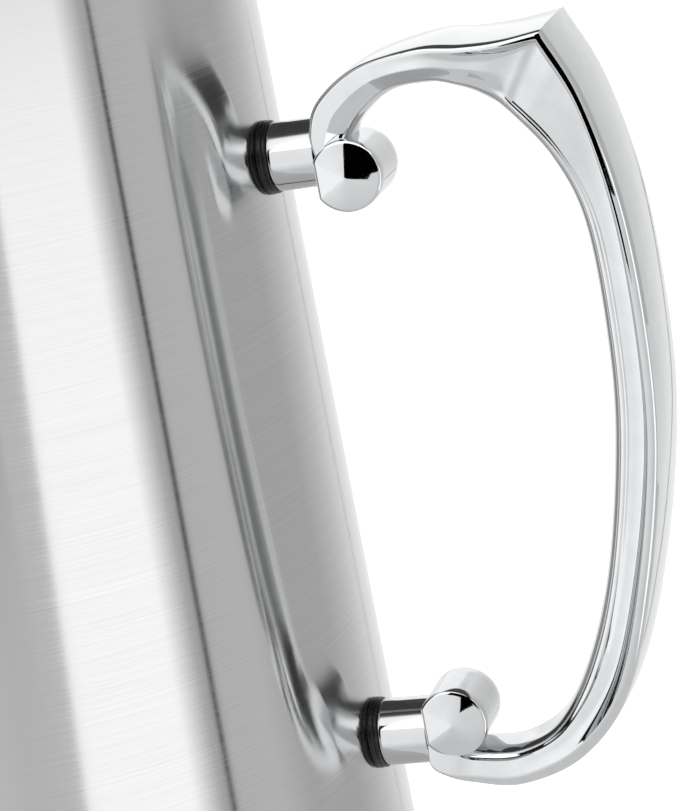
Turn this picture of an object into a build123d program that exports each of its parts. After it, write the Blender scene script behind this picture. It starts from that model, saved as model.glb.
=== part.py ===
"""Double-walled steel tankard with a cast scroll handle held by two posts.

Millimetres, +Z up. The origin is on the vessel's axis, on the plane it rests on.
The handle stands in the XZ plane, on the +X side.
"""
import os
from math import cos, radians, sin, sqrt, tan

from build123d import *

# Vessel
HEIGHT = 145.0
BASE_RADIUS = 50.3
TAPER_DEG = 3.5
SHELL_WALL = 0.8
SHELL_BOTTOM = 0.5
SHELL_TOP = 142.4
FOOT_WIDTH = 7.0
FOOT_CORNER = 3.0
BASE_PLATE_WALL = 0.8
PAD_CLEARANCE = 0.8

# Liner: a drawn cup whose neck meets the shell and whose lip covers the shell's edge
LINER_WALL = 0.8
LINER_OFFSET = 6.8
LINER_FLOOR = 8.0
LINER_CORNER = 8.0
NECK_BOTTOM = 130.0
NECK_TOP = 137.5
NECK_GAP = 0.05
LIP_OVERHANG = 0.7
LIP_ROUND = 1.1

# Handle fixings, the same at both ends
UPPER_STUD_Z = 100.3
LOWER_STUD_Z = 29.8
SCREW_RADIUS = 1.95
SCREW_HOLE = 2.15
TAPPED_HOLE = 2.0
SCREW_HEAD_RADIUS = 3.5
SCREW_HEAD_HEIGHT = 2.2
SCREW_REACH = 9.8
TAPPED_DEPTH = 10.4
DRIVE_WIDTH = 2.5
DRIVE_DEPTH = 1.4
POST_RADIUS = 4.0
POST_REACH = 12.0
GASKET_RADIUS = 4.25
GASKET_THICKNESS = 1.1
GASKET_GROOVE = 0.25
PLATE_RADIUS = 8.0
PLATE_WALL = 1.0
LOCK_WASHER_RADIUS = 3.7
LOCK_WASHER_WALL = 0.9
LOCK_WASHER_SLIT = 0.8

# Handle casting: scroll centres, how far their flat seats stand from the wall, and half widths along Y
SCROLL_RADIUS = 4.15
SCROLL_HALF_WIDTH = 4.0
SCROLL_CONE = 0.6
GRIP_HALF_WIDTH = 7.0
WEB_HALF_WIDTH = 3.2
BAND_THICKNESS = 1.9
EDGE_ROUND = 0.4
UPPER_SCROLL = (54.2, 98.4)
LOWER_SCROLL = (58.8, 32.3)
UPPER_SEAT = 6.5
LOWER_SEAT = 6.9
PEAK = (78.8, 113.9)
MID_HEIGHT = 70.0

TAPER = radians(TAPER_DEG)
SLOPE = tan(TAPER)


def wall_radius(z):
    """Outer radius of the shell at a height."""
    return BASE_RADIUS - SLOPE * z


def revolved(points, rounds=()):
    """Turn a closed (radius, height) outline about Z; rounds lists (point index, radius)."""
    face = Plane.XZ * make_face(Polyline(*points, close=True).edges())
    for index, radius in rounds:
        r, z = points[index]
        corner = face.vertices().sort_by_distance((r, 0, z))[0]
        face = fillet(corner, radius)
    return revolve(face, axis=Axis.Z)


def cone_solid(inset, bottom=0.0, top=HEIGHT):
    """Solid cone whose side lies inset from the shell's outer side."""
    low = wall_radius(bottom) - inset
    high = wall_radius(top) - inset
    return revolved([(0, bottom), (low, bottom), (high, top), (0, top)])


def stud_plane(z):
    """Plane at the wall's outer side, its normal square to the wall."""
    return Plane(origin=(wall_radius(z), 0, z), x_dir=(0, 1, 0), z_dir=(cos(TAPER), 0, sin(TAPER)))


def along_stud(z, radius, start, length):
    """Cylinder on the stud's axis, from a distance outside the wall."""
    plane = stud_plane(z).offset(start)
    return plane * Cylinder(radius, length, align=(Align.CENTER, Align.CENTER, Align.MIN))


def outer_shell():
    """Tapered wall with its bottom edge turned in to stand on, drilled for two screws."""
    floor = SHELL_BOTTOM
    foot_inner = BASE_RADIUS - FOOT_WIDTH
    points = [
        (foot_inner, floor),
        (wall_radius(floor), floor),
        (wall_radius(SHELL_TOP), SHELL_TOP),
        (wall_radius(SHELL_TOP) - SHELL_WALL, SHELL_TOP),
        (wall_radius(floor) - SHELL_WALL, floor + SHELL_WALL),
        (foot_inner, floor + SHELL_WALL),
    ]
    shell = revolved(points, [(1, FOOT_CORNER), (4, FOOT_CORNER - SHELL_WALL)])
    for z in (UPPER_STUD_Z, LOWER_STUD_Z):
        shell -= along_stud(z, SCREW_HOLE, -2 * SHELL_WALL, 4 * SHELL_WALL)
    return shell


def inner_liner():
    """Cup with a flared neck and a rounded lip over the shell's top edge."""
    neck_inset = SHELL_WALL + NECK_GAP
    lip_outer = wall_radius(SHELL_TOP) + LIP_OVERHANG
    lip_inner = wall_radius(HEIGHT) - neck_inset - LINER_WALL
    inner_floor = LINER_FLOOR + LINER_WALL
    inner_inset = LINER_OFFSET + LINER_WALL
    points = [
        (0, LINER_FLOOR),
        (wall_radius(LINER_FLOOR) - LINER_OFFSET, LINER_FLOOR),
        (wall_radius(NECK_BOTTOM) - LINER_OFFSET, NECK_BOTTOM),
        (wall_radius(NECK_TOP) - neck_inset, NECK_TOP),
        (wall_radius(SHELL_TOP) - neck_inset, SHELL_TOP),
        (lip_outer, SHELL_TOP),
        (lip_outer, HEIGHT),
        (lip_inner, HEIGHT),
        (wall_radius(NECK_TOP) - neck_inset - LINER_WALL, NECK_TOP + LINER_WALL / 2),
        (wall_radius(NECK_BOTTOM) - inner_inset, NECK_BOTTOM + LINER_WALL / 2),
        (wall_radius(inner_floor) - inner_inset, inner_floor),
        (0, inner_floor),
    ]
    rounds = [(1, LINER_CORNER), (10, LINER_CORNER - LINER_WALL), (6, LIP_ROUND), (7, LIP_ROUND)]
    return revolved(points, rounds)


def base_plate():
    """Disc that closes the gap between the walls, resting on the turned-in foot."""
    bottom = SHELL_BOTTOM + SHELL_WALL
    radius = wall_radius(bottom) - SHELL_WALL - FOOT_CORNER
    return Pos(0, 0, bottom) * Cylinder(
        radius, BASE_PLATE_WALL, align=(Align.CENTER, Align.CENTER, Align.MIN)
    )


def base_pad():
    """Non-slip disc in the foot's recess, standing proud of the metal."""
    radius = BASE_RADIUS - FOOT_WIDTH - PAD_CLEARANCE
    thickness = SHELL_BOTTOM + SHELL_WALL
    return Cylinder(radius, thickness, align=(Align.CENTER, Align.CENTER, Align.MIN))


def gasket(z):
    """Grooved ring squeezed between the wall and the post."""
    ring = along_stud(z, GASKET_RADIUS, -SHELL_WALL, GASKET_THICKNESS + SHELL_WALL)
    middle = GASKET_THICKNESS / 2
    groove = stud_plane(z).offset(middle) * Torus(GASKET_RADIUS + GASKET_GROOVE / 2, GASKET_GROOVE)
    hole = along_stud(z, SCREW_HOLE, -2 * SHELL_WALL, 4 * GASKET_THICKNESS)
    return ring - groove - hole - cone_solid(0)


def post(z, casting):
    """Turned spacer from the gasket to the back of the scroll."""
    rod = along_stud(z, POST_RADIUS, GASKET_THICKNESS, POST_REACH - GASKET_THICKNESS)
    hole = along_stud(z, SCREW_HOLE, 0, 2 * POST_REACH)
    pieces = (rod - casting - hole).solids()
    return pieces.sort_by_distance(stud_plane(z).origin)[0]


def backing_plate(z):
    """Round plate, curved to the wall's inner side, that spreads the screw's load."""
    disc = along_stud(z, PLATE_RADIUS, -4 * PLATE_WALL, 5 * PLATE_WALL)
    hole = along_stud(z, SCREW_HOLE, -5 * PLATE_WALL, 7 * PLATE_WALL)
    return (disc & cone_solid(SHELL_WALL)) - cone_solid(SHELL_WALL + PLATE_WALL) - hole


def washer_start(z):
    """Distance along the stud's axis to the inner face of the lock washer."""
    radius = wall_radius(z) - SHELL_WALL - PLATE_WALL
    sag = radius - sqrt(radius**2 - LOCK_WASHER_RADIUS**2)
    return -(SHELL_WALL + PLATE_WALL + sag + LOCK_WASHER_WALL)


def lock_washer(z):
    """Split spring washer."""
    start = washer_start(z)
    ring = along_stud(z, LOCK_WASHER_RADIUS, start, LOCK_WASHER_WALL)
    ring -= along_stud(z, SCREW_HOLE, start - 1, LOCK_WASHER_WALL + 2)
    slit = Pos(0, LOCK_WASHER_RADIUS, 0) * Box(LOCK_WASHER_SLIT, 2 * LOCK_WASHER_RADIUS, 4 * LOCK_WASHER_WALL)
    return ring - stud_plane(z).offset(start) * slit


def screw(z):
    """Machine screw from the gap between the walls into the scroll, with a hexagon socket."""
    start = washer_start(z)
    head = along_stud(z, SCREW_HEAD_RADIUS, start - SCREW_HEAD_HEIGHT, SCREW_HEAD_HEIGHT)
    shank = along_stud(z, SCREW_RADIUS, start, SCREW_REACH - start)
    socket_plane = stud_plane(z).offset(start - SCREW_HEAD_HEIGHT)
    socket = extrude(socket_plane * RegularPolygon(DRIVE_WIDTH / 2, 6, major_radius=False), DRIVE_DEPTH)
    return head + shank - socket


def outer_line():
    """The casting's outer edge: over the upper arm to the thumb peak, then down the grip."""
    arm = Spline((50.05, 98.3), (50.4, 104.4), (53.0, 108.0), (58.0, 111.3), (65.0, 112.7), (73.0, 112.7), PEAK)
    grip = Spline(
        PEAK, (82.6, 106.0), (86.5, 91.0), (87.5, 73.0), (85.1, 52.0), (79.8, 34.5), (72.0, 26.6),
        (63.5, 24.4), (56.6, 26.3), (54.9, 32.3),
    )
    return arm, grip


def inner_line():
    """The casting's inner edge, from the lower scroll up the grip and along the upper arm."""
    return Spline(
        (61.5, 28.4), (66.5, 29.1), (71.2, 32.2), (75.2, 39.2), (79.2, 51.5), (81.4, 66.0), (81.4, 83.0),
        (78.6, 96.7), (72.2, 105.3), (64.0, 108.3), (57.8, 106.3), (55.0, 102.0),
    )


def inward(edge, depth, samples):
    """A line at a depth inside an outer edge that runs clockwise."""
    points = []
    for step in range(samples):
        place = edge @ (step / (samples - 1))
        heading = edge % (step / (samples - 1))
        points.append((place.X + heading.Y * depth, place.Y - heading.X * depth))
    return Spline(*points)


def slab(lines, half_width):
    """Closed outline in the handle's plane, thickened both ways."""
    face = Plane.XZ * make_face(lines)
    return extrude(face, half_width, both=True)


def band_strip(edge, samples):
    """The wide outer band along one stretch of the casting's outer edge."""
    under = inward(edge, BAND_THICKNESS, samples)
    ends = [Line(edge @ 1, under @ 1), Line(under @ 0, edge @ 0)]
    return slab([edge, under, *ends], GRIP_HALF_WIDTH)


def plan_block(scroll_end, grip_start, low, high):
    """Plan outline of one arm, narrow at its scroll and wide at the grip."""
    near, far = 45.0, 95.0
    half = [
        (near, SCROLL_HALF_WIDTH),
        (scroll_end, SCROLL_HALF_WIDTH),
        (grip_start, GRIP_HALF_WIDTH),
        (far, GRIP_HALF_WIDTH),
    ]
    mirrored = [(x, -y) for x, y in reversed(half)]
    face = make_face(Polyline(*half, *mirrored, close=True).edges())
    return extrude(Pos(0, 0, low) * face, high - low)


def scroll(centre):
    """Short cylinder at the end of an arm, its edges rounded and its ends raised to low cones."""
    x, z = centre
    drum = Cylinder(SCROLL_RADIUS, 2 * SCROLL_HALF_WIDTH)
    drum = fillet(drum.edges().filter_by(GeomType.CIRCLE), EDGE_ROUND)
    end = Cone(SCROLL_RADIUS - EDGE_ROUND, 0, SCROLL_CONE, align=(Align.CENTER, Align.CENTER, Align.MIN))
    end = Pos(0, 0, SCROLL_HALF_WIDTH) * end
    return Pos(x, 0, z) * Rot(90, 0, 0) * (drum + end + Rot(180, 0, 0) * end)


def handle_casting():
    """One casting: two scrolls, a wide outer band and a narrower web behind it."""
    arm, grip = outer_line()
    inner = inner_line()
    outline = [arm, grip, inner, Line(grip @ 1, inner @ 0), Line(inner @ 1, arm @ 0)]
    upper_plan = plan_block(57.0, 70.0, MID_HEIGHT, HEIGHT)
    lower_plan = plan_block(65.0, 82.0, 0, MID_HEIGHT)
    band = (band_strip(arm, 7) + band_strip(grip, 12)) & (upper_plan + lower_plan)
    arms_block = Pos(56, 0, MID_HEIGHT) * Box(24, 4 * GRIP_HALF_WIDTH, 2 * MID_HEIGHT)
    arms = slab(outline, SCROLL_HALF_WIDTH) & arms_block
    casting = slab(outline, WEB_HALF_WIDTH) + band + arms
    casting += scroll(UPPER_SCROLL) + scroll(LOWER_SCROLL)
    for z, seat in ((UPPER_STUD_Z, UPPER_SEAT), (LOWER_STUD_Z, LOWER_SEAT)):
        casting -= along_stud(z, 2 * POST_RADIUS, 0, seat)
        casting -= along_stud(z, TAPPED_HOLE, 0, TAPPED_DEPTH)
    return casting


def build_parts():
    """Every node's shape, by name."""
    casting = handle_casting()
    parts = {
        "outer_shell": outer_shell(),
        "inner_liner": inner_liner(),
        "base_plate": base_plate(),
        "base_pad": base_pad(),
        "handle_casting": casting,
    }
    for name, z in (("upper", UPPER_STUD_Z), ("lower", LOWER_STUD_Z)):
        parts[name + "_post"] = post(z, casting)
        parts[name + "_gasket"] = gasket(z)
        parts[name + "_backing_plate"] = backing_plate(z)
    studs = (UPPER_STUD_Z, LOWER_STUD_Z)
    parts["lock_washers"] = Compound([lock_washer(z).solid() for z in studs])
    parts["handle_screws"] = Compound([screw(z).solid() for z in studs])
    return parts


os.makedirs("parts", exist_ok=True)
for node, shape in build_parts().items():
    export_step(shape, f"parts/{node}.step")
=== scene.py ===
"""Looks of the tankard: brushed steel vessel, chrome scroll handle, black gaskets, around the CAD frame."""

import math

import bpy
from mathutils import Matrix, Vector


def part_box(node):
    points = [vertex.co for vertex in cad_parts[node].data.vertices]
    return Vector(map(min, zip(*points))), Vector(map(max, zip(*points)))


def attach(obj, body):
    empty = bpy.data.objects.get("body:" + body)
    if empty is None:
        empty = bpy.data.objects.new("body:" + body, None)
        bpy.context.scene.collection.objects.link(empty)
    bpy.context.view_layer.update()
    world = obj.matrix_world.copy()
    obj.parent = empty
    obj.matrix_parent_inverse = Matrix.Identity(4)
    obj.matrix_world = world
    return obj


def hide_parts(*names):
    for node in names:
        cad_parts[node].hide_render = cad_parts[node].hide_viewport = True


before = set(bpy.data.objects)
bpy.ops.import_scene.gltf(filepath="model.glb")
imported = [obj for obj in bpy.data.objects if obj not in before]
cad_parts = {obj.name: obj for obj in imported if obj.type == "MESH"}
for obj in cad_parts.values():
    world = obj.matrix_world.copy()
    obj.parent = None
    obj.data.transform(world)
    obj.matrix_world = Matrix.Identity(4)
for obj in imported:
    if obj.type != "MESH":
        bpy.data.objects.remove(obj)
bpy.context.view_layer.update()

MM = 0.001

# ---------------------------------------------------------------- sizes read from the frame
shell_low, shell_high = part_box("outer_shell")
liner_low, liner_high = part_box("inner_liner")
pad_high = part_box("base_pad")[1]

RIM_Z = liner_high[2]
SHELL_TOP = shell_high[2]
SHELL_BOTTOM = shell_low[2]
TAPER = math.radians(3.5)
WALL = 0.8 * MM


def rim_radius(node, z):
    """Largest radius of a CAD node's points close to a height."""
    near = [v.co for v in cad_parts[node].data.vertices if abs(v.co.z - z) < 0.02 * MM]
    return max(math.hypot(p.x, p.y) for p in near)


RIM_RADIUS = rim_radius("outer_shell", SHELL_TOP)
LIP_RADIUS = rim_radius("inner_liner", SHELL_TOP)
FOOT_CORNER = 3.0 * MM
FOOT_WIDTH = 7.0 * MM


def wall_radius(z):
    """Outer radius of the tapered wall at a height."""
    return RIM_RADIUS + math.tan(TAPER) * (SHELL_TOP - z)


# ---------------------------------------------------------------- mesh helpers
def smooth_path(points, steps):
    """Catmull-Rom curve through 2-D or 3-D points, steps samples to each span."""
    ends = [2 * points[0] - points[1], *points, 2 * points[-1] - points[-2]]
    path = []
    for a, b, c, d in zip(ends, ends[1:], ends[2:], ends[3:]):
        for k in range(steps):
            t = k / steps
            square = (2 * a - 5 * b + 4 * c - d) * t**2
            cube = (3 * b - a - 3 * c + d) * t**3
            path.append(0.5 * (2 * b + (c - a) * t + square + cube))
    path.append(points[-1].copy())
    return path


def add_mesh(name, verts, faces, node, material):
    """New smooth-shaded piece that stands for a CAD node."""
    mesh = bpy.data.meshes.new(name)
    mesh.from_pydata([tuple(v) for v in verts], [], faces)
    mesh.validate()
    mesh.materials.append(material)
    piece = bpy.data.objects.new(name, mesh)
    bpy.context.scene.collection.objects.link(piece)
    for polygon in mesh.polygons:
        polygon.use_smooth = True
    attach(piece, "root")
    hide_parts(node)
    return piece


def ring_faces(rings, count, closed=False):
    """Quads between successive rings of count points; closed joins the last ring to the first."""
    faces = []
    last = rings if closed else rings - 1
    for i in range(last):
        a, b = i * count, ((i + 1) % rings) * count
        for j in range(count):
            k = (j + 1) % count
            faces.append((a + k, b + k, b + j, a + j))
    return faces


def lathe(profile, segments, place=Matrix(), closed=True):
    """Turns (radius, height) points, upwards on the outside, about Z; fills an open profile's ends."""
    verts = []
    for radius, height in profile:
        for s in range(segments):
            angle = 2 * math.pi * s / segments
            verts.append(place @ Vector((radius * math.cos(angle), radius * math.sin(angle), height)))
    faces = ring_faces(len(profile), segments, closed)
    if not closed:
        faces.append(tuple(reversed(range(segments))))
        start = (len(profile) - 1) * segments
        faces.append(tuple(range(start, start + segments)))
    return verts, faces


def arc(centre, radius, start, end, steps):
    """Points on a circle's arc, angles in degrees."""
    points = []
    for k in range(steps + 1):
        angle = math.radians(start + (end - start) * k / steps)
        points.append((centre[0] + radius * math.cos(angle), centre[1] + radius * math.sin(angle)))
    return points


def sharpen(piece, degrees):
    """Hard shading across edges sharper than an angle."""
    piece.data.set_sharp_from_angle(angle=math.radians(degrees))


# ---------------------------------------------------------------- node helpers
class Nodes:
    """Small wrapper for building a material's or the world's node tree."""

    def __init__(self, tree):
        self.tree = tree
        tree.nodes.clear()

    def add(self, kind, inputs=None, **settings):
        node = self.tree.nodes.new(kind)
        for key, value in settings.items():
            setattr(node, key, value)
        for key, value in (inputs or {}).items():
            if isinstance(value, bpy.types.NodeSocket):
                self.tree.links.new(value, node.inputs[key])
            else:
                node.inputs[key].default_value = value
        return node

    def math(self, operation, a, b=0.0):
        return self.add("ShaderNodeMath", {0: a, 1: b}, operation=operation).outputs[0]

    def vector(self, operation, a, b):
        return self.add("ShaderNodeVectorMath", {0: a, 1: b}, operation=operation).outputs[0]

    def noise(self, vector, scale, detail=3.0, roughness=0.5):
        inputs = {"Vector": vector, "Scale": scale, "Detail": detail, "Roughness": roughness}
        return self.add("ShaderNodeTexNoise", inputs).outputs["Fac"]

    def remap(self, value, low, high, to_low, to_high):
        inputs = {"Value": value, "From Min": low, "From Max": high, "To Min": to_low, "To Max": to_high}
        return self.add("ShaderNodeMapRange", inputs, clamp=True).outputs[0]

    def grey(self, value):
        return self.add("ShaderNodeCombineColor", {0: value, 1: value, 2: value}).outputs[0]


def new_material(name):
    material = bpy.data.materials.new(name)
    material.use_nodes = True
    return material, Nodes(material.node_tree)


def finish_material(nodes, shader):
    nodes.add("ShaderNodeOutputMaterial", {"Surface": shader.outputs[0]})


# ---------------------------------------------------------------- materials
TURN_SPREAD = 2.2  # how many noise lengths the brushing changes over from one side of the vessel to the other


def brushed_steel(name, tone, streak_contrast, roughness, anisotropy):
    """Steel brushed round the vessel's axis: fine uneven lines in tone, roughness and relief."""
    material, n = new_material(name)
    place = n.add("ShaderNodeTexCoord").outputs["Object"]
    axes = n.add("ShaderNodeSeparateXYZ", {0: place}).outputs
    angle = n.math("ARCTAN2", axes[1], axes[0])
    across = n.math("MULTIPLY", n.math("COSINE", angle), TURN_SPREAD)
    deep = n.math("MULTIPLY", n.math("SINE", angle), TURN_SPREAD)
    around = n.add("ShaderNodeCombineXYZ", {0: across, 1: deep}).outputs[0]
    height = n.add("ShaderNodeCombineXYZ", {2: axes[2]}).outputs[0]

    def lines(pitch, seed):
        """Noise drawn out round the vessel, with lines about pitch metres apart."""
        tall = n.vector("MULTIPLY", height, (0.0, 0.0, 1.0 / pitch))
        where = n.vector("ADD", around, tall)
        return n.noise(n.vector("ADD", where, (seed, seed, seed)), 1.0, 2.0)

    fine = lines(0.12 * MM, 0.0)
    broad = lines(1.1 * MM, 7.0)
    both = n.math("ADD", n.math("MULTIPLY", fine, 0.85), n.math("MULTIPLY", broad, 0.15))
    shade = n.remap(both, 0.3, 0.7, tone * (1 - streak_contrast), tone * (1 + streak_contrast))
    rough = n.remap(both, 0.3, 0.7, roughness * 0.85, roughness * 1.2)
    bump = n.add("ShaderNodeBump", {"Height": both, "Strength": 0.08, "Distance": 0.02 * MM})
    tangent = n.add("ShaderNodeTangent", direction_type="RADIAL", axis="Z")
    shader = n.add("ShaderNodeBsdfPrincipled", {
        "Base Color": n.grey(shade), "Metallic": 1.0, "Roughness": rough, "Anisotropic": anisotropy,
        "Anisotropic Rotation": 0.25, "Normal": bump.outputs[0], "Tangent": tangent.outputs[0]})
    finish_material(n, shader)
    return material


def polished_chrome():
    """Bright plating over a hand-polished casting: slight waviness, faint smears in its gloss."""
    material, n = new_material("chrome")
    place = n.add("ShaderNodeTexCoord").outputs["Object"]
    waves = n.noise(place, 180.0, 2.0)
    smears = n.noise(place, 420.0, 4.0, 0.6)
    rough = n.remap(smears, 0.35, 0.75, 0.02, 0.07)
    tone = n.remap(smears, 0.3, 0.8, 0.64, 0.70)
    red = n.math("MULTIPLY", tone, 0.985)
    blue = n.math("MULTIPLY", tone, 1.012)
    colour = n.add("ShaderNodeCombineColor", {0: red, 1: tone, 2: blue})
    bump = n.add("ShaderNodeBump", {"Height": waves, "Strength": 0.05, "Distance": 0.25 * MM})
    shader = n.add("ShaderNodeBsdfPrincipled", {
        "Base Color": colour.outputs[0], "Metallic": 1.0, "Roughness": rough, "Normal": bump.outputs[0]})
    finish_material(n, shader)
    return material


def black_rubber():
    """Moulded rubber: fine grain, dusty paler patches, a low sheen."""
    material, n = new_material("black_rubber")
    place = n.add("ShaderNodeTexCoord").outputs["Object"]
    grain = n.noise(place, 2600.0, 3.0)
    dust = n.noise(place, 500.0, 4.0)
    shade = n.remap(dust, 0.5, 0.8, 0.006, 0.03)
    rough = n.remap(grain, 0.3, 0.7, 0.18, 0.45)
    bump = n.add("ShaderNodeBump", {"Height": grain, "Strength": 0.4, "Distance": 0.05 * MM})
    shader = n.add("ShaderNodeBsdfPrincipled", {
        "Base Color": n.grey(shade), "Roughness": rough, "Specular IOR Level": 0.3,
        "Normal": bump.outputs[0]})
    finish_material(n, shader)
    return material


def zinc_steel():
    """Bright zinc plating on the hidden screws, washers and plates."""
    material, n = new_material("zinc_steel")
    place = n.add("ShaderNodeTexCoord").outputs["Object"]
    bloom = n.noise(place, 900.0, 3.0)
    shade = n.remap(bloom, 0.3, 0.7, 0.45, 0.62)
    rough = n.remap(bloom, 0.3, 0.7, 0.25, 0.42)
    shader = n.add("ShaderNodeBsdfPrincipled", {
        "Base Color": n.grey(shade), "Metallic": 1.0, "Roughness": rough})
    finish_material(n, shader)
    return material


def pale_floor():
    """Plain studio table top."""
    material, n = new_material("floor")
    place = n.add("ShaderNodeTexCoord").outputs["Object"]
    shade = n.remap(n.noise(place, 3.0), 0.3, 0.7, 0.93, 0.95)
    shader = n.add("ShaderNodeBsdfPrincipled", {
        "Base Color": n.grey(shade), "Roughness": 0.6, "Emission Color": (1, 1, 1, 1),
        "Emission Strength": 0.8})
    finish_material(n, shader)
    return material


steel_outside = brushed_steel("brushed_steel", 0.60, 0.05, 0.12, 1.0)
steel_inside = brushed_steel("satin_steel", 0.62, 0.05, 0.30, 0.5)
chrome = polished_chrome()
rubber = black_rubber()
zinc = zinc_steel()


# ---------------------------------------------------------------- vessel
def make_shell():
    """Tapered wall with a rounded foot turned in to stand on."""
    low = SHELL_BOTTOM
    corner = FOOT_CORNER
    edge = shell_high[0] - corner
    inner_corner = corner - WALL
    profile = [(edge + corner - FOOT_WIDTH, low)]
    profile += arc((edge, low + corner), corner, -90, 0, 10)
    rows = 60
    for k in range(1, rows + 1):
        z = low + corner + (SHELL_TOP - low - corner) * k / rows
        profile.append((wall_radius(z), z))
    for k in range(rows, 0, -6):
        z = low + corner + (SHELL_TOP - low - corner) * k / rows
        profile.append((wall_radius(z) - WALL, z))
    profile += arc((edge, low + corner), inner_corner, 0, -90, 6)
    profile.append((edge + corner - FOOT_WIDTH, low + WALL))
    verts, faces = lathe(profile, 360)
    shell = add_mesh("shell_wall", verts, faces, "outer_shell", steel_outside)
    sharpen(shell, 40)


def make_liner():
    """Drawn cup: round-cornered floor, tapered wall, flared neck and a rolled lip."""
    floor = liner_low[2]
    gap = 6.8 * MM
    corner = 8.0 * MM
    neck_low = 130.0 * MM
    neck_high = 137.5 * MM
    inset = WALL + 0.05 * MM
    lip_round = 1.1 * MM
    outside = [(0.2 * MM, floor)]
    base_edge = wall_radius(floor + corner) - gap - corner
    outside += arc((base_edge, floor + corner), corner, -90, 0, 12)
    outside.append((wall_radius(neck_low) - gap, neck_low))
    outside.append((wall_radius(neck_high) - inset, neck_high))
    outside.append((wall_radius(SHELL_TOP) - inset, SHELL_TOP))
    outside.append((LIP_RADIUS - 0.2 * MM, SHELL_TOP))
    outside.append((LIP_RADIUS, SHELL_TOP + 0.2 * MM))
    outside += arc((LIP_RADIUS - lip_round, RIM_Z - lip_round), lip_round, 0, 90, 8)
    lip_inner = wall_radius(RIM_Z) - inset - WALL
    inside = arc((lip_inner + lip_round, RIM_Z - lip_round), lip_round, 90, 180, 8)
    neck = [
        Vector((lip_inner, RIM_Z - 2.5 * lip_round)),
        Vector((wall_radius(neck_high) - inset - WALL, neck_high + 0.8 * MM)),
        Vector((wall_radius(neck_low) - gap - WALL + 0.2 * MM, neck_low - 0.5 * MM)),
        Vector((wall_radius(neck_low - 8 * MM) - gap - WALL, neck_low - 8 * MM)),
    ]
    inside += [tuple(p) for p in smooth_path(neck, 5)]
    rows = 24
    top = neck_low - 8 * MM
    bottom = floor + corner
    for k in range(1, rows):
        z = top + (bottom - top) * k / rows
        inside.append((wall_radius(z) - gap - WALL, z))
    inside += arc((base_edge, floor + corner), corner - WALL, 0, -90, 12)
    inside.append((0.2 * MM, floor + WALL))
    verts, faces = lathe(outside + inside, 256)
    liner = add_mesh("liner_cup", verts, faces, "inner_liner", steel_inside)
    sharpen(liner, 40)


def make_pad():
    """Non-slip pad with a rounded edge and shallow ring grooves underneath."""
    radius = pad_high[0]
    top = pad_high[2]
    edge = 0.3 * MM
    groove = 0.25 * MM
    profile = [(0.5 * MM, top)]
    profile += arc((radius - edge, top - edge), edge, 90, 0, 4)
    profile += arc((radius - edge, edge), edge, 0, -90, 4)
    for step in (6, 5, 4, 3, 2, 1):
        ring = radius * step / 7
        profile += [(ring + 0.8 * MM, 0.0), (ring + 0.5 * MM, groove)]
        profile += [(ring - 0.5 * MM, groove), (ring - 0.8 * MM, 0.0)]
    profile.append((0.5 * MM, 0.0))
    verts, faces = lathe(profile[::-1], 128, closed=False)
    pad = add_mesh("grip_pad", verts, faces, "base_pad", rubber)
    sharpen(pad, 30)


# ---------------------------------------------------------------- handle fixings
def stud_matrix(z):
    """Frame with Z along the post, at the wall's outer side."""
    across = Vector((0, 1, 0))
    out = Vector((math.cos(TAPER), 0, math.sin(TAPER)))
    up = out.cross(across)
    basis = Matrix((across, up, out)).transposed().to_4x4()
    return Matrix.Translation((wall_radius(z), 0, z)) @ basis


POST_RADIUS = 4.0 * MM
GASKET_RADIUS = 4.25 * MM
GASKET_THICKNESS = 1.1 * MM
SEATS = {"upper": 6.5 * MM, "lower": 6.9 * MM}


def stud_height(node):
    """Height at which a post's axis meets the wall, worked out from its gasket's box."""
    low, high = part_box(node)
    middle_x = (low[0] + high[0]) / 2
    middle_z = (low[2] + high[2]) / 2
    return middle_z - math.tan(TAPER) * (middle_x - wall_radius(middle_z))


def make_post(name, z):
    """Turned chrome spacer with a small chamfer at the gasket."""
    start = GASKET_THICKNESS
    profile = [(POST_RADIUS - 0.35 * MM, start), (POST_RADIUS - 0.05 * MM, start + 0.12 * MM)]
    profile += [(POST_RADIUS, start + 0.3 * MM), (POST_RADIUS, start + 0.42 * MM), (POST_RADIUS, SEATS[name])]
    verts, faces = lathe(profile, 96, stud_matrix(z), closed=False)
    piece = add_mesh(name + "_spacer", verts, faces, name + "_post", chrome)
    sharpen(piece, 50)


def make_gasket(name, z):
    """Two ribs squeezed out between wall and post."""
    sag = 0.25 * MM
    profile = [(POST_RADIUS - 1.0 * MM, -sag)]
    profile += arc((GASKET_RADIUS - 0.42 * MM, 0.22 * MM), 0.42 * MM, -80, 62, 10)
    profile += arc((GASKET_RADIUS - 0.36 * MM, 0.78 * MM), 0.30 * MM, -54, 90, 10)
    profile.append((POST_RADIUS - 1.0 * MM, GASKET_THICKNESS))
    verts, faces = lathe(profile, 96, stud_matrix(z), closed=False)
    add_mesh(name + "_seal", verts, faces, name + "_gasket", rubber)


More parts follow.
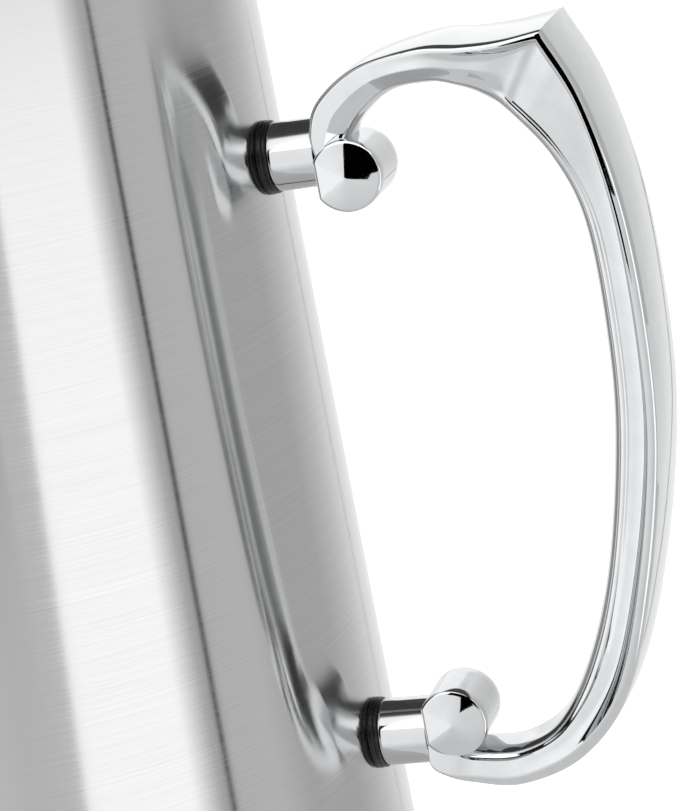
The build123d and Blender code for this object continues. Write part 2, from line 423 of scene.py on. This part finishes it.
# ---------------------------------------------------------------- handle casting
# Stations along the casting, in millimetres: outer edge x, z; inner edge x, z; half width at the outer edge.
# Then how far the section has turned from the grip's flanged one (0) to the arms' plain one (1),
# and a scale for the rounding of the outer face's edges.
ARM_STATIONS = [
    (51.3, 97.6, 53.6, 97.6, 3.75, 1.0, 1.0),
    (50.75, 100.6, 53.6, 99.8, 3.8, 1.0, 1.0),
    (50.45, 103.6, 54.3, 101.6, 3.9, 1.0, 1.0),
    (52.0, 107.2, 56.3, 104.6, 4.2, 1.0, 1.0),
    (57.0, 110.8, 60.3, 107.5, 5.0, 1.0, 1.0),
    (64.2, 112.6, 65.3, 108.3, 6.2, 0.94, 1.0),
    (69.2, 112.6, 68.2, 107.6, 6.6, 0.8, 1.0),
    (73.6, 112.9, 70.7, 106.4, 6.95, 0.55, 1.0),
    (78.6, 113.8, 73.5, 104.1, 7.0, 0.0, 1.0),
]
GRIP_STATIONS = [
    (78.6, 113.8, 73.5, 104.1, 7.0, 0.0, 1.0),
    (82.5, 106.0, 77.6, 98.8, 7.0, 0.0, 1.0),
    (85.6, 94.0, 80.3, 91.3, 7.0, 0.0, 1.0),
    (87.0, 80.0, 81.4, 79.0, 7.0, 0.0, 1.0),
    (86.85, 66.0, 81.2, 67.0, 7.0, 0.0, 1.0),
    (84.3, 50.0, 79.0, 51.5, 6.9, 0.1, 1.0),
    (80.3, 36.4, 75.6, 40.0, 6.3, 0.3, 1.0),
    (74.2, 28.4, 71.4, 32.4, 5.3, 0.75, 1.0),
    (66.5, 24.6, 66.5, 29.1, 4.4, 1.0, 1.0),
    (60.3, 24.75, 61.4, 28.6, 4.0, 1.0, 0.8),
    (57.4, 25.7, 59.4, 29.2, 4.0, 1.0, 0.3),
    (55.65, 27.0, 58.6, 30.2, 4.0, 1.0, 0.15),
    (55.45, 29.6, 58.2, 31.4, 3.95, 1.0, 0.15),
]
# Rounding of the outer face's edges, (across, deep): on the grip, on the upper arm, on the lower arm
GRIP_EDGE = (0.36, 0.95)
UPPER_EDGE = (0.4, 0.45)
LOWER_EDGE = (0.9, 1.5)
# How deep each arm's flat side goes, over the arm's depth
UPPER_RIDGE = 0.48
LOWER_RIDGE = 0.78
# Height of the outer face's crown on the widest grip, and depth of the flange past its rounding
CROWN = 0.35
FLANGE = 0.08
# Half width of the grip's web over that of its outer face: WEB_SHARE up to SLIM_GRIP millimetres deep,
# then WEB_GROWTH more with each millimetre, up to WEB_SHARE_MAX
WEB_SHARE = 0.56
WEB_GROWTH = 0.045
SLIM_GRIP = 5.6
WEB_SHARE_MAX = 0.76
# Scroll centres x, z and how far their flat seats are from them
UPPER_SCROLL = (54.2, 98.4, 3.5)
LOWER_SCROLL = (58.8, 32.3, 3.45)
SCROLL_RADIUS = 4.12
RIM_HALF_WIDTH = 4.0


def blend(first, second, share):
    """Points part of the way from one list to another."""
    return [(a[0] + (b[0] - a[0]) * share, a[1] + (b[1] - a[1]) * share) for a, b in zip(first, second)]


def outer_edge(width, across, deep):
    """Crowned outer face and the rounding at its edge."""
    crown = CROWN * width / 7.0
    face = [(width - across) * k / 6 for k in range(7)]
    points = [(y, crown * ((y / width) ** 2 - 1)) for y in face]
    for k in range(1, 9):
        angle = math.pi / 2 * k / 8
        points.append((width - across * (1 - math.sin(angle)), deep * (1 - math.cos(angle))))
    return points


def grip_section(width, thickness):
    """Right half of the grip's section: flange, hollow side, flat web and a bead along the inner edge."""
    web_share = min(WEB_SHARE + WEB_GROWTH * max(thickness - SLIM_GRIP, 0.0), WEB_SHARE_MAX)
    web = min(max(width * web_share, 3.7), width - 0.3)
    points = outer_edge(width, *GRIP_EDGE)
    flange = GRIP_EDGE[1] + FLANGE
    points.append((width, flange))
    drop = min(1.1, thickness * 0.2)
    for k in range(1, 8):
        angle = math.pi / 2 * k / 7
        points.append((width - (width - web) * math.sin(angle), flange + drop * (1 - math.cos(angle))))
    bead = min(1.9, thickness * 0.33)
    top = thickness - bead
    start = flange + drop
    middle = start + (top - start) * 0.5
    foot = web - 0.1 * (top - middle)
    points.append((web, middle))
    points += [(foot, top - 0.20), (foot, top - 0.14), (foot + 0.05, top), (foot - 0.01, top + 0.2)]
    shoulder = foot + 0.04
    deep = bead - 0.36
    points.append((shoulder, thickness - deep))
    for k in range(1, 9):
        angle = math.pi / 2 * k / 8
        y = shoulder - web * 0.66 * (1 - math.cos(angle))
        points.append((y, thickness - deep + deep * math.sin(angle)))
    points.append((0.0, thickness))
    return points


def arm_section(width, thickness, edge, ridge_share):
    """Right half of an arm's section: a flat side, a second facet leaning in, and a rounded inner edge."""
    across, deep = edge
    points = outer_edge(width, across, deep)
    ridge = max(thickness * ridge_share, deep + 0.3)
    inner = thickness * 0.8
    lean = 0.2 * thickness
    points.append((width, deep + 0.05))
    for k in range(1, 8):
        points.append((width, deep + 0.05 + (ridge - deep - 0.05) * k / 9))
    points += [(width, ridge - 0.04), (width, ridge)]
    points += [(width - lean * t, ridge + (inner - ridge) * t) for t in (0.15, 0.5, 0.85, 0.92)]
    last = width - lean
    for k in range(1, 9):
        angle = math.pi / 2 * k / 8
        y = last - last * 0.6 * (1 - math.cos(angle))
        points.append((y, inner + (thickness - inner) * math.sin(angle)))
    points.append((0.0, thickness))
    return points


def casting_rings(stations, inner_path, per_span, edge, ridge_share):
    """Section rings along one run of stations."""
    outer = smooth_path([Vector((s[0], s[1])) for s in stations], per_span)
    shapes = smooth_path([Vector(s[4:]) for s in stations], per_span)
    rings = []
    for out_point, in_point, shape in zip(outer, inner_path, shapes):
        inward = in_point - out_point
        thickness = inward.length
        inward.normalize()
        share = min(max(shape.y, 0.0), 1.0)
        rounding = (edge[0] * shape.z, edge[1] * shape.z)
        plain = arm_section(shape.x, thickness, rounding, ridge_share)
        half = blend(grip_section(shape.x, thickness), plain, share)
        loop = half + [(-y, d) for y, d in reversed(half[1:-1])]
        ring = [(out_point + inward * d, y) for y, d in loop]
        rings.append([Vector((p.x, y, p.y)) * MM for p, y in ring])
    return rings


def make_casting():
    """Arms, thumb peak and grip in one skin, and a drum with coned ends at each scroll."""
    per_span = 14
    inner_points = [Vector((s[2], s[3])) for s in ARM_STATIONS + GRIP_STATIONS[1:]]
    inner_path = smooth_path(inner_points, per_span)
    split = (len(ARM_STATIONS) - 1) * per_span
    rings = casting_rings(ARM_STATIONS, inner_path[: split + 1], per_span, UPPER_EDGE, UPPER_RIDGE)
    rings += casting_rings(GRIP_STATIONS, inner_path[split:], per_span, LOWER_EDGE, LOWER_RIDGE)[1:]
    count = len(rings[0])
    verts = [v for ring in rings for v in ring]
    faces = [tuple(reversed(f)) for f in ring_faces(len(rings), count)]
    faces.append(tuple(range(count)))
    start = (len(rings) - 1) * count
    faces.append(tuple(reversed(range(start, start + count))))
    for x, z, seat in (UPPER_SCROLL, LOWER_SCROLL):
        first = len(verts)
        place = Matrix.Translation((x * MM, 0, z * MM)) @ Matrix.Rotation(math.radians(90), 4, "X")
        drum_verts, drum_faces = lathe(drum_profile(), 192, place, closed=False)
        verts += [seated(v, x * MM, z * MM, seat * MM) for v in drum_verts]
        faces += [tuple(first + i for i in f) for f in drum_faces]
    casting = add_mesh("scroll_handle", verts, faces, "handle_casting", chrome)
    sharpen(casting, 32)


def drum_profile():
    """Scroll drum from one end to the other; each end is a low cone, steeper towards the rim."""
    rim = SCROLL_RADIUS - 0.22
    face = [(rim, 0.0)]
    steps = 20
    for k in range(1, steps):
        slope = math.radians(12.5 - 5.5 * k / steps)
        radius, height = face[-1]
        face.append((radius - rim / steps, height + rim / steps * math.tan(slope)))
    face.append((0.05, face[-1][1] + 0.02))
    half = [(r, RIM_HALF_WIDTH + z) for r, z in reversed(face)]
    half += [(SCROLL_RADIUS - 0.05, RIM_HALF_WIDTH - 0.12), (SCROLL_RADIUS, RIM_HALF_WIDTH - 0.32)]
    half += [(SCROLL_RADIUS, RIM_HALF_WIDTH - 1.4)]
    return [(r * MM, -z * MM) for r, z in half] + [(r * MM, z * MM) for r, z in reversed(half)]


def seated(point, x, z, seat):
    """Gives a drum's point its flat seat on the side of the post, where the ends stand prouder."""
    out = Vector((math.cos(TAPER), 0, math.sin(TAPER)))
    radial = Vector((point.x - x, 0, point.z - z))
    towards = -radial.dot(out)
    if towards <= 0:
        return point
    limit = seat * min(radial.length / (SCROLL_RADIUS * MM), 1.0)
    if towards > limit:
        radial *= limit / towards
    lift = 0.02 * min(towards, limit) ** 2 / MM
    return Vector((x + radial.x, point.y + math.copysign(lift, point.y), z + radial.z))


make_shell()
make_liner()
make_pad()
for end in ("upper", "lower"):
    height = stud_height(end + "_gasket")
    make_post(end, height)
    make_gasket(end, height)
make_casting()

CAD_FINISHES = {
    "base_plate": steel_inside,
    "upper_backing_plate": zinc,
    "lower_backing_plate": zinc,
    "lock_washers": zinc,
    "handle_screws": zinc,
}
for node, material in CAD_FINISHES.items():
    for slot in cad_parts[node].material_slots:
        slot.material = material


# ---------------------------------------------------------------- studio
def card(name, corners, brightness, fade=None):
    """Flat studio card that only reflections see; fade is (from y, to y, brightness there)."""
    mesh = bpy.data.meshes.new(name)
    mesh.from_pydata(corners, [], [tuple(range(len(corners)))])
    material, n = new_material(name)
    strength = brightness
    if fade:
        place = n.add("ShaderNodeTexCoord").outputs["Object"]
        along = n.add("ShaderNodeSeparateXYZ", {0: place}).outputs[1]
        strength = n.remap(along, fade[0], fade[1], brightness, fade[2])
    shader = n.add("ShaderNodeEmission", {"Color": (1, 1, 1, 1), "Strength": strength})
    finish_material(n, shader)
    mesh.materials.append(material)
    piece = bpy.data.objects.new(name, mesh)
    bpy.context.scene.collection.objects.link(piece)
    piece.visible_camera = False
    piece.visible_diffuse = False
    piece.visible_shadow = False


def upright(x0, y0, x1, y1, low, high):
    """Corners of an upright rectangle between two points on the floor plan."""
    return [(x0, y0, low), (x1, y1, low), (x1, y1, high), (x0, y0, high)]


def level(x0, y0, x1, y1, z):
    """Corners of a level rectangle."""
    return [(x0, y0, z), (x1, y0, z), (x1, y1, z), (x0, y1, z)]


# Brightness of the tent's wall round the horizon: (bearing in degrees from +X towards +Y, brightness)
WALL_TONES = [
    (-179, 1.3), (-122, 1.32), (-104, 1.07), (-60, 0.75), (-41, 0.78), (-10, 0.60), (-3, 0.57), (0, 0.70),
    (15, 0.72), (28, 0.57), (50, 0.57), (64, 0.73), (76, 0.90), (79, 0.95), (110, 0.97), (179, 1.3),
]


BRIGHTEST_WALL = 1.3
PANEL = 1.9
REAR_LIGHT = 1.2
GROUND = 0.78
# Dark opening overhead: direction of its middle, brightness
OPENING_AT = (0.0, 0.36, 0.93)
OPENING = 0.08


def make_world():
    """White tent seen in reflections: toned walls, bright panels, a dark opening overhead."""
    world = bpy.data.worlds.new("studio")
    bpy.context.scene.world = world
    world.use_nodes = True
    n = Nodes(world.node_tree)
    direction = n.add("ShaderNodeTexCoord").outputs["Generated"]
    axes = n.add("ShaderNodeSeparateXYZ", {0: direction}).outputs
    bearing = n.remap(n.math("ARCTAN2", axes[1], axes[0]), -math.pi, math.pi, 0.0, 1.0)
    ramp = n.add("ShaderNodeValToRGB", {"Fac": bearing})
    stops = ramp.color_ramp.elements
    for degrees, tone in WALL_TONES:
        stop = stops.new((degrees + 180) / 360)
        share = tone / BRIGHTEST_WALL
        stop.color = (share, share, share, 1)
    stops.remove(stops[0])
    stops.remove(stops[len(stops) - 1])
    wall = n.math("MULTIPLY", ramp.outputs["Color"], BRIGHTEST_WALL)
    height = n.math("ARCSINE", axes[2])
    above = n.remap(height, math.radians(24), math.radians(24.5), 0.0, 1.0)
    front = n.remap(axes[1], -0.45, -0.35, 1.0, 0.0)
    panel = n.math("MULTIPLY", above, front)
    lit = n.add("ShaderNodeMix", {0: panel, 2: wall, 3: PANEL}).outputs[0]
    raised = n.remap(height, math.radians(1), math.radians(5), 0.0, 1.0)
    leftward = n.remap(axes[0], 0.02, 0.10, 1.0, 0.0)
    behind = n.math("MULTIPLY", leftward, n.remap(axes[1], 0.4, 0.6, 0.0, 1.0))
    lit = n.add("ShaderNodeMix", {0: n.math("MULTIPLY", raised, behind), 2: lit, 3: REAR_LIGHT}).outputs[0]
    below = n.remap(height, math.radians(-40), math.radians(-20), 1.0, 0.0)
    grounded = n.add("ShaderNodeMix", {0: below, 2: lit, 3: GROUND}).outputs[0]
    towards = {0: direction, 1: OPENING_AT}
    top = n.add("ShaderNodeVectorMath", towards, operation="DOT_PRODUCT").outputs["Value"]
    opening = n.remap(top, math.cos(math.radians(44)), math.cos(math.radians(40)), 0.0, 1.0)
    tone = n.add("ShaderNodeMix", {0: opening, 2: grounded, 3: OPENING}).outputs[0]
    tent = n.add("ShaderNodeBackground", {"Color": n.grey(tone), "Strength": 1.0})
    plain = n.add("ShaderNodeBackground", {"Color": (1, 1, 1, 1), "Strength": 1.0})
    camera_ray = n.add("ShaderNodeLightPath").outputs["Is Camera Ray"]
    mix = n.add("ShaderNodeMixShader", {0: camera_ray, 1: tent.outputs[0], 2: plain.outputs[0]})
    n.add("ShaderNodeOutputWorld", {"Surface": mix.outputs[0]})


def make_studio():
    floor = bpy.data.meshes.new("floor")
    side = 3.0
    floor.from_pydata(level(-side, -side, side, side, 0.0), [], [(0, 1, 2, 3)])
    floor.materials.append(pale_floor())
    table = bpy.data.objects.new("floor", floor)
    bpy.context.scene.collection.objects.link(table)
    table.visible_glossy = False
    flag = [(-0.055, 0.36), (-0.055, 0.085), (0.02, 0.04), (0.035, -0.01), (0.09, -0.01), (0.10, 0.025),
            (0.30, 0.05), (0.30, 0.36)]
    card("camera_flag", [(x, -0.40, z) for x, z in flag], 0.0)
    softbox = [(0.50, -0.60, -0.40), (0.50, -0.435, 0.125), (0.50, -0.06, 0.125), (0.50, -0.06, -0.40)]
    card("side_softbox", softbox, 1.55, fade=(-0.15, -0.075, 0.62))
    card("side_seam", upright(0.49, -0.053, 0.49, -0.041, -0.4, 0.11), 0.0)
    card("back_seam", upright(0.153, 0.60, 0.164, 0.60, -0.5, 0.03), 0.45)
    make_world()


def make_camera():
    """Long lens, slightly above the handle, rolled so that the vessel leans."""
    place = Vector((0.1581, -0.3529, 0.1779))
    turn = math.radians(17.2)
    height = math.radians(16.2)
    roll = math.radians(7.3)
    back = Vector((math.sin(turn) * math.cos(height), -math.cos(turn) * math.cos(height), math.sin(height)))
    right = Vector((math.cos(turn), math.sin(turn), 0.0))
    up = back.cross(right)
    right_rolled = math.cos(roll) * right - math.sin(roll) * up
    up_rolled = math.sin(roll) * right + math.cos(roll) * up
    camera_data = bpy.data.cameras.new("camera")
    camera_data.sensor_width = 36.0
    camera_data.lens = 147.8175
    camera_data.clip_start = 0.01
    camera = bpy.data.objects.new("camera", camera_data)
    bpy.context.scene.collection.objects.link(camera)
    basis = Matrix((right_rolled, up_rolled, back)).transposed().to_4x4()
    camera.matrix_world = Matrix.Translation(place) @ basis
    bpy.context.scene.camera = camera


make_studio()
make_camera()
bpy.context.scene.view_settings.view_transform = "Standard"
